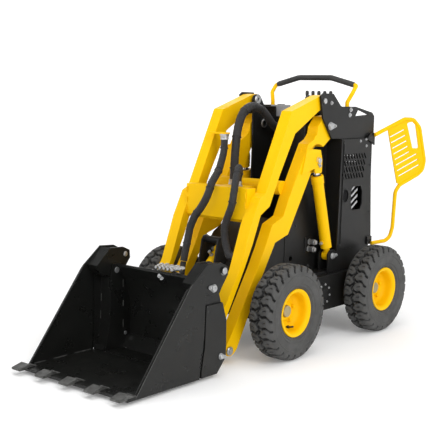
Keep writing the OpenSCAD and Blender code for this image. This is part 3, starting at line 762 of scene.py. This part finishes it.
# ------------------------------------------------------------------ bucket detail
def bucket_detail():
    for s in (1, -1):
        # stitch welds on the inner columns and along the floor
        for z0, z1 in ((128, 165), (232, 262), (330, 366)):
            bead("bucket", [(871, s * 269.5, z0), (871, s * 269.5, z1)], 2.2)
        for z0, z1 in ((62, 92), (120, 150), (176, 214), (262, 300)):
            bead("bucket", [(961 - (z0 - 153) * 0.05, s * 336, z0), (961 - (z1 - 153) * 0.05, s * 336, z1)], 2.2)
        for x0, x1 in ((1020, 1120), (1170, 1250), (1300, 1365)):
            bead("jaw", [(x0, s * 346, 28), (x1, s * 346, 28)], 2.6)
        # toothed joint line at the foot of the split between the side plates: a near-black strip on the face, painted
        # shade standing in for the shadow in the gap
        zig = [(968, 190), (971, 150)]
        for k in range(9):
            zig.append((978 + k * 1.6 + (5 if k % 2 else -5), 136 - k * 9))
        zig.append((992, 44))
        tube("jaw", "joint_line", [(x + 4, s * 357.2, z) for x, z in zig], 1.9, 0.001, 6)
        # bare steel along the sloping edge of the jaw plate: worn steel, and also a painted highlight, a lighter line
        # standing in for the highlight along the edge
        tube("jaw", "worn_steel", [(1394, s * 357.2, 23), (1068.5, s * 357.2, 437.4), (1048.5, s * 357.2, 457.4)], 1.3, 0.002, 8)
        # stiffener along the sloping edge of the jaw plate
        tube("jaw", "bucket_paint", [(1388, s * 347, 34), (1072, s * 347, 436)], 3.0, n=10)
        # lap strip that closes the split between the side plates from inside
        lap = [(950, 398), (951, 374), (961, 153), (980, 47), (984, 34), (1004, 34), (1000, 153), (1000, 330), (996, 398)]
        plate("bucket", "bucket_paint", lap, 339, 5.0, s)
        # the column's front wall, carried on to the floor and up to the horn
        plate("bucket", "bucket_paint", [(975, 48), (983, 48), (998, 30), (998, 21), (978, 21)], 278, 68.0, s)
        plate("bucket", "bucket_paint", [(944, 374), (951, 374), (952, 386), (945, 386)], 278, 60.0, s)
        # pin head on the inner side of the horn
        lathe("jaw", "zinc_steel", P(H[0], s * 281, H[1]), (0, -s, 0), [(0, 0), (13, 0), (13, 1.6), (11, 2.4), (0, 2.4)], 18)
        # spacer between the two horn plates
        tube("jaw", "bucket_paint", [(905, s * 289, 512), (905, s * 348, 512)], 10, n=18)
        # grease nipples
        for p in (J, K):
            lathe("bucket", "zinc_steel", P(p[0] - 4, s * 369, p[1] + 3), (0, s, 0), [(0, 0), (3, 0), (3, 3), (1.8, 4), (2.2, 6), (0, 7)], 10)
    # seam where the bent back meets its floor plate
    bead("bucket", [(829, -268, 88), (829, 268, 88)], 2.0, "bucket_paint")
    # stiff rim along the top edge, with two bolts in the middle
    rim = [(900, 448), (909, 441), (893, 410), (886, 414)]
    verts = [P(x, y, z) for y in (-262, 262) for x, z in rim]
    faces = [(0, 1, 2, 3), (7, 6, 5, 4)] + [(i, 4 + i, 4 + (i + 1) % 4, (i + 1) % 4) for i in range(4)]
    add("bucket", "bucket_paint", verts, faces)
    nrm = Vector((0.86, 0, 0.5))
    for y, x, z in ((14, 904.5, 430), (24, 899, 420)):
        bolt("bucket", P(x, y, z), nrm, 8, 6)
    # hydraulic couplers on a bracket behind the rim
    verts = [P(x, y, z) for y in (-46, 112) for x, z in ((846, 446), (900, 450), (900, 444), (850, 438))]
    faces = [(0, 1, 2, 3), (7, 6, 5, 4)] + [(i, 4 + i, 4 + (i + 1) % 4, (i + 1) % 4) for i in range(4)]
    add("bucket", "bucket_paint", verts, faces)
    for k, y in enumerate((-32, -6, 20, 46, 72)):
        c = P(878, y, 461)
        ax = (-1, 0.14 * (k - 2), 0.05 + 0.05 * (k % 2))
        lathe("bucket", "zinc_steel", c, ax,
              [(0, 0), (6, 0), (6, 8), (9.5, 10), (9.5, 22), (11, 23), (11, 33), (8.5, 34), (8.5, 44), (10.5, 45), (10.5, 54), (7, 56), (7, 64), (0, 64)], 18)
        lathe("bucket", "zinc_steel", c, (1, 0, 0.1), [(0, 0), (9, 0), (9, 8), (7, 9), (0, 9)], 6)
    # steel pipes from the couplers to the jaw cylinders
    for s, y0 in ((1, 72), (-1, -30)):
        tube("bucket", "black_paint", [(878, y0, 456), (868, y0 + s * 40, 440), (866, s * 200, 436), (866, s * 262, 436)], 5.0, 0.02)
    # weld along the back of each tooth
    for i in range(5):
        y = (i - 2) * 164
        bead("jaw", [(1390, y - 28, 31), (1390, y + 28, 31)], 3.0)


bucket_detail()


# ------------------------------------------------------------------ hand bar, guards, levers
def guard_point(s, z, s_y):
    c, n = math.cos(math.radians(14)), math.sin(math.radians(14))
    return (-505 - s * c, s_y * (294 + s * n), z)


GUARD_PATH = [(0, 1066), (228, 1152), (300, 1150), (352, 1104), (402, 915), (392, 862), (352, 834), (206, 778), (176, 742), (164, 540),
              (146, 486), (110, 466), (0, 460)]


def rounded_slot(x, z, length, width, angle, n=6):
    a = math.radians(angle)
    c, s = math.cos(a), math.sin(a)
    r = width / 2
    pts = []
    for k in range(n + 1):
        th = -math.pi / 2 + math.pi * k / n
        pts.append((length - r + r * math.cos(th), r + r * math.sin(th)))
    for k in range(n + 1):
        th = math.pi / 2 + math.pi * k / n
        pts.append((r + r * math.cos(th), r + r * math.sin(th)))
    return [(x + u * c - v * s, z + u * s + v * c) for u, v in pts]


def round_outline(pts, radius, steps=5):
    out = fillet([Vector((pts[-1][0], pts[-1][1], 0))] + [Vector((p[0], p[1], 0)) for p in pts] + [Vector((pts[0][0], pts[0][1], 0))], radius, steps)
    return [(p.x, p.y) for p in out[1:-1]]


def filled_plate(name, outer, holes, thick, mat, place):
    """A flat plate with holes, as a filled curve turned into a mesh and moved point by point with place(u, v, w)."""
    cu = bpy.data.curves.new(name, "CURVE")
    cu.dimensions = "2D"
    cu.fill_mode = "BOTH"
    cu.extrude = thick / 2
    cu.bevel_depth = 0.0006
    cu.bevel_resolution = 1
    for pts in [outer] + holes:
        sp = cu.splines.new("POLY")
        sp.points.add(len(pts) - 1)
        for i, (x, z) in enumerate(pts):
            sp.points[i].co = (x / 1000, z / 1000, 0, 1)
        sp.use_cyclic_u = True
    tmp = bpy.data.objects.new(name + "_tmp", cu)
    SCENE.collection.objects.link(tmp)
    deps = bpy.context.evaluated_depsgraph_get()
    me = bpy.data.meshes.new_from_object(tmp.evaluated_get(deps))
    bpy.data.objects.remove(tmp)
    verts = [place(v.co.x * 1000, v.co.y * 1000, v.co.z * 1000) for v in me.vertices]
    faces = [tuple(p.vertices) for p in me.polygons]
    bpy.data.meshes.remove(me)
    return verts, faces


def make_guards():
    verts, faces = [], []

    def put(v, f):
        off = len(verts)
        verts.extend(v)
        faces.extend(tuple(off + i for i in q) for q in f)

    for s in (1, -1):
        path = fillet([P(*guard_point(u, z, s)) for u, z in GUARD_PATH], 0.05, 6)
        v, f, _ = tube_data(path, 0.0108, 18)
        put(v, f)
        outer = [(98, 1100), (184, 792), (206, 782), (352, 836), (390, 864), (400, 915), (350, 1102), (300, 1148), (228, 1150)]
        holes = [round_outline([(246, 1130), (298, 986), (350, 984), (318, 1118), (292, 1138)], 9)]
        for i in range(8):
            g = i / 7
            holes.append(rounded_slot(116 + 80 * g, 1047 - 222 * g, 122 if i < 5 else 176, 8.5, 20.6))
        cs, sn = math.cos(math.radians(14)), math.sin(math.radians(14))

        def place(u, z, w, s=s):
            x, y, zz = guard_point(u, z, s)
            return P(x - w * sn, y - s * w * cs, zz)

        v, f = filled_plate("guard_plate", outer, holes, 0.0048, "yellow_paint", place)
        put(v, f if s > 0 else [tuple(reversed(q)) for q in f])
        # bracket plates on the body
        for out in ([(-440, 1046), (-470, 1078), (-514, 1078), (-514, 1010)], [(-516, 456), (-470, 456), (-470, 500), (-516, 500)]):
            n = len(out)
            vv = [P(x, s * y, z) for y in (282.2, 290) for x, z in out]
            ff = [tuple(range(n)), tuple(range(2 * n - 1, n - 1, -1))] + [(i, n + i, n + (i + 1) % n, (i + 1) % n) for i in range(n)]
            add("chassis", "black_paint", vv, ff)
    o = make_object("hip_guard_frames", verts, faces, "yellow_paint", sharp=40)
    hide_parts("hip_guards")
    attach(o, "chassis")


make_guards()


def make_hand_bar():
    a, b = Vector((-338, 258, 1338)), Vector((-335, 109, 1376))
    d = (b - a).normalized()
    verts, faces = [], []
    for s in (1, -1):
        bend = a - d * 14
        pts = [(-284, 252, 1158), (-284, 252, 1246), (-302, 272, 1294), tuple(bend), tuple(a + d * 3)]
        path = fillet([P(x, s * y, z) for x, y, z in pts], 0.03, 8)
        v, f, _ = tube_data(path, 0.0109, 20)
        off = len(verts)
        verts += v
        faces += [tuple(off + i for i in q) for q in f]
    o = make_object("hand_bar_tube", verts, faces, "yellow_paint", sharp=50)
    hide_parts("hand_bar")
    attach(o, "chassis")
    pts = [P(*a), P(*b), P(b.x, -b.y, b.z), P(a.x, -a.y, a.z)]
    path = fillet(pts, 0.09, 8)
    fine = []
    for p, q in zip(path, path[1:]):
        k = max(1, int((q - p).length / 0.012))
        fine += [p.lerp(q, i / k) for i in range(k)]
    fine.append(path[-1])
    total = length_of(fine)

    def rad(t):
        end = min(t, total - t)
        return 0.0150 if end > 0.004 else 0.0132 + 0.0018 * (end / 0.004) ** 0.5

    v, f, uv = tube_data(fine, rad, 22)
    o = make_object("foam_grip", v, f, "foam_grip", uv, sharp=60)
    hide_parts("hand_grip")
    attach(o, "chassis")
    for s in (1, -1):
        # welded foot ring of the bar on the deck
        lathe("chassis", "yellow_paint", P(-284, s * 252, 1158), (0, 0, 1), [(11, 0), (15, 0), (14.5, 3), (11, 6)], 24)


make_hand_bar()


def make_levers():
    for i in range(5):
        y = (i - 2) * 40
        c = P(-377, y, 0)
        lathe("lever_stub", "black_plastic", c, (0, 0, 1),
              [(0, 1100), (5, 1100), (5, 1214), (13, 1216), (14, 1220), (9, 1226), (6.5, 1236), (5, 1240), (5, 1262), (7, 1264), (8.2, 1271),
               (9.4, 1282), (9.9, 1291), (9.4, 1298), (7, 1302.5), (3.5, 1304), (0, 1304)], 20)
    v, f = BINS.pop(("lever_stub", "black_plastic"))
    o = make_object("lever_set", v, f, "black_plastic", sharp=50)
    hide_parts("control_levers")
    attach(o, "chassis")


make_levers()


# ------------------------------------------------------------------ wheels
def smooth_step(x, a, b):
    t = np.clip((x - a) / (b - a), 0, 1)
    return t * t * (3 - 2 * t)


TYRE_HALF = [(102.6, 47.8), (112, 48.5), (120, 50), (124, 55), (130, 60), (131.5, 62.2), (134.5, 62.6), (136, 61.5), (145, 64.6), (146, 66.2), (149, 66.8), (150, 65.9), (160, 67.2), (172, 67.6),
             (184, 67.4), (185, 68.8), (188, 68.8), (189, 67.2), (192, 67.0), (199, 66.2), (203, 65.2), (208, 66.2), (214, 64.4), (221, 60.8), (227, 55.8), (231, 50), (233.2, 44), (234.3, 36),
             (234.8, 27), (235, 18), (235, 9), (235, 0)]


def make_tyre(name, x, s):
    half = []
    for (r0, y0), (r1, y1) in zip(TYRE_HALF, TYRE_HALF[1:]):
        k = max(1, int(math.hypot(r1 - r0, y1 - y0) / 4.0))
        half += [(r0 + (r1 - r0) * i / k, y0 + (y1 - y0) * i / k) for i in range(k)]
    prof = half + [TYRE_HALF[-1]] + [(r, -y) for r, y in reversed(half)]
    prof = np.array(prof)
    lugs, per = 26, 14
    nth = lugs * per
    th = np.arange(nth) / nth * 2 * math.pi
    R, Y = prof[:, 0][None, :], prof[:, 1][None, :]
    TH = th[:, None]
    phase = TH * lugs / (2 * math.pi)
    ay = np.abs(Y)
    # lateral grooves: swept back towards the shoulder, left and right half a pitch apart
    sweep = 0.55 * np.clip((ay - 8) / 50, 0, 1.2) + 0.16 * np.sin(np.clip(ay, 0, 60) / 60 * 2 * math.pi)
    ph = phase + sweep + np.where(Y > 0, 0.5, 0.0)
    d = np.abs(ph - np.round(ph)) * (2 * math.pi * 235 / lugs)
    lat = 1 - smooth_step(d, 4.4, 7.2)
    # zig-zag groove round the middle
    tri = np.abs(((phase * 1.0) % 1.0) - 0.5) * 4 - 1
    mid = 1 - smooth_step(np.abs(Y - 9 * tri), 3.2, 5.6)
    # short sipe across each lug
    dd = np.abs(ph - 0.5 - np.round(ph - 0.5)) * (2 * math.pi * 235 / lugs)
    sipe = (1 - smooth_step(dd, 1.2, 3.0)) * smooth_step(ay, 20, 26) * (1 - smooth_step(ay, 40, 46)) * 0.5
    on = smooth_step(R, 203.5, 209) * np.ones_like(TH)
    cut = on * np.maximum(np.maximum(lat, mid * smooth_step(-ay, -40, -30)), sipe)
    # radial ribs just below the lugs
    depth = 13.0 * cut
    RR = R - depth * np.where(R > 226, 1.0, 0.7)
    YY = Y * np.ones_like(TH) - np.sign(Y) * depth * np.where(R > 226, 0.0, 0.6)
    X3 = RR * np.cos(TH)
    Z3 = RR * np.sin(TH)
    base = P(x, 0, 235)
    m = prof.shape[0]
    verts = np.stack([X3 / 1000 + base.x, (YY + s * 395) / 1000, Z3 / 1000 + base.z], -1).reshape(-1, 3)
    faces = []
    for i in range(nth):
        i2 = (i + 1) % nth
        for j in range(m - 1):
            faces.append((i * m + j, i * m + j + 1, i2 * m + j + 1, i2 * m + j))
        faces.append((i * m + m - 1, i * m, i2 * m, i2 * m + m - 1))
    o = make_object(name + "_tread", verts, faces, "tyre", sharp=45)
    # the groove mask is stored on the mesh, and the tyre material uses it to paint shade into the grooves
    groove_shade_values = o.data.attributes.new("groove", "FLOAT", "POINT")
    groove_shade_values.data.foreach_set("value", np.clip(cut * np.ones_like(TH), 0, 1).astype(np.float32).ravel())
    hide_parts(name)
    return o


RIM = [(29, -58), (46, -60), (47.5, -58.5), (47.5, -26), (70, -24), (86, -10), (92.5, -2), (92.5, -44), (97, -50), (104, -53), (112, -56.5), (117, -56.5),
       (119, -53), (118, -49.5), (110, -48.8), (102.2, -48.2), (101.8, -30), (100.5, -10), (100.5, 10), (101.8, 30), (102.2, 48.2), (110, 48.8),
       (118, 49.5), (119, 53), (117, 56.5), (112, 56.5), (105, 52.5), (99, 46.5), (96, 40), (94.6, 30), (94, 12), (92.5, 4), (88, -3), (80, -11),
       (71, -15.5), (62, -16.5), (49, -16.5), (46.5, -15), (45.5, -10), (42, -7.5), (33, -7), (30, -8.5), (29, -12)]


def make_rim(name, x, s):
    c = P(x, s * 395, 235)
    lathe("rim_tmp", "yellow_paint", c, (0, s, 0), RIM + [RIM[0]], 72)
    v, f = BINS.pop(("rim_tmp", "yellow_paint"))
    o = make_object(name + "_disc", v, f, "yellow_paint", sharp=38)
    bm = bmesh.new()
    bm.from_mesh(o.data)
    bmesh.ops.remove_doubles(bm, verts=bm.verts, dist=1e-6)
    bm.to_mesh(o.data)
    bm.free()
    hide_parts(name)
    return o


SLOT_AT = {"front_left": -1.75, "front_right": -1.4, "rear_left": -0.57, "rear_right": -2.4}


def make_wheels():
    for key, x, s in (("front_left", 402.5, 1), ("front_right", 402.5, -1), ("rear_left", -402.5, 1), ("rear_right", -402.5, -1)):
        body = key + "_wheel"
        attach(make_tyre(key + "_tyre", x, s), body)
        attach(make_rim(key + "_rim", x, s), body)
        for k in range(5):
            th = 2 * math.pi * k / 5 + 0.35
            bolt(body, P(x + 58 * math.cos(th), s * (395 - 16.6), 235 + 58 * math.sin(th)), (0, s, 0), 9.5, 13, True, "yellow_paint")
        # valve through the slot in the dish
        th = SLOT_AT[key]
        c = P(x + 84 * math.cos(th), s * (395 - 7), 235 + 84 * math.sin(th))
        lathe(body, "black_rubber", c, (-0.25 * math.cos(th), s, -0.25 * math.sin(th)), [(0, 0), (7.5, 0), (7, 5), (4.5, 8), (4, 26), (5, 27), (5, 34), (0, 35)], 14)
        # slot in the dish for the valve: a near-black rounded piece set on the dish, painted shade standing in for the
        # dark of the opening
        for k in range(1):
            th = SLOT_AT[key]
            t = Vector((-math.sin(th), 0, math.cos(th)))
            rdir = Vector((math.cos(th), 0, math.sin(th)))
            cc = P(x, s * 395, 235)
            pts = []
            for q in range(16):
                a = 2 * math.pi * q / 16
                u = 12 * max(-1, min(1, 1.25 * math.cos(a)))
                w = 3.6 * math.sin(a)
                pts.append((u, 81 + w))
            verts = []
            for lift in (-3.0, 0.6):
                for u, r in pts:
                    h = -16.5 + (r - 71) * 0.9 + lift
                    verts.append(cc + t * (u / 1000) + rdir * (r / 1000) + Vector((0, s * h / 1000, 0)))
            n = len(pts)
            faces = [(i, (i + 1) % n, n + (i + 1) % n, n + i) for i in range(n)] + [tuple(range(n, 2 * n)), tuple(range(n - 1, -1, -1))]
            add(body, "joint_line", verts, faces)


make_wheels()


# ------------------------------------------------------------------ body detail
def body_detail():
    # instrument case and its cover glass on the console
    verts = [P(x, y, z) for y in (-236, -159) for x, z in ((-332, 1160), (-242, 1160), (-246, 1222), (-328, 1222))]
    faces = [(0, 1, 2, 3), (7, 6, 5, 4)] + [(i, 4 + i, 4 + (i + 1) % 4, (i + 1) % 4) for i in range(4)]
    add("chassis", "grey_case", verts, faces)
    lathe("chassis", "black_plastic", P(-292, -198, 1221.6), (0, 0, 1), [(0, 0), (22, 0), (22, 3), (20, 4.4), (17, 4.4), (16.5, 3.2), (0, 3.2)], 30)
    # key switch and knobs on the deck
    lathe("chassis", "zinc_steel", P(-290, 170, 1158), (0, 0, 1), [(0, 0), (13, 0), (13, 5), (11, 7), (0, 7)], 24)
    lathe("chassis", "black_plastic", P(-290, 120, 1158), (0, 0, 1), [(0, 0), (10, 0), (9, 14), (13, 17), (13, 23), (10, 26), (0, 26)], 24)
    # collars under the levers
    for i in range(5):
        lathe("chassis", "black_rubber", P(-377, (i - 2) * 40, 1158), (0, 0, 1), [(8.5, 0), (18, 0), (18, 6), (14, 12), (11, 22), (7, 34), (5.3, 34)], 22)
    for s in (1, -1):
        # slanted cooler fins behind the eight-sided opening
        for k in range(4):
            z = 668 + k * 34
            vv = [P(x, s * y, zz) for y in (262, 266) for x, zz in ((-332, z - 6), (-332, z + 5), (-392, z + 41), (-392, z + 30))]
            ff = [(0, 1, 2, 3), (7, 6, 5, 4)] + [(i, 4 + i, 4 + (i + 1) % 4, (i + 1) % 4) for i in range(4)]
            add("chassis", "grey_case", vv, ff)
        # backing strip behind the joint of panel and tower plate
        plate("chassis", "black_paint", [(-500, 1020), (-230, 1020), (-230, 1080), (-500, 1080)], 257, 5.0, s)
        # rolled edge of the tower plate and the panel frame
        tube("chassis", "black_paint", [(-208, s * 284.5, 470), (-222, s * 284.5, 1040)], 2.6, n=8)
        # weld beads at the towers
        bead("chassis", [(-199, s * 181, 460), (-199, s * 181, 1180)], 3.0, "black_paint")
        bead("chassis", [(152, s * 181, 360), (152, s * 181, 630)], 3.0, "black_paint")
        # stitch welds where the arm's cross pieces meet the arms
        for z in (680, 730, 780):
            bead("upper_arms", [(495, s * 193, z), (495, s * 193, z + 28)], 3.0, "yellow_paint")
    # treads on the step: raised studs
    for i in range(7):
        for k in range(9):
            lathe("chassis", "black_paint", P(-840 + i * 46, (k - 4) * 46, 184), (0, 0, 1), [(0, 0), (9, 0), (7.5, 2.6), (4, 3.2), (0, 3.2)], 12)


body_detail()


# ------------------------------------------------------------------ finish the hardware bins
for (body, mat), (v, f) in BINS.items():
    o = make_object("fittings_" + body + "_" + mat, v, f, mat, sharp=32)
    bm = bmesh.new()
    bm.from_mesh(o.data)
    bmesh.ops.recalc_face_normals(bm, faces=bm.faces)
    bm.to_mesh(o.data)
    bm.free()
    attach(o, body)
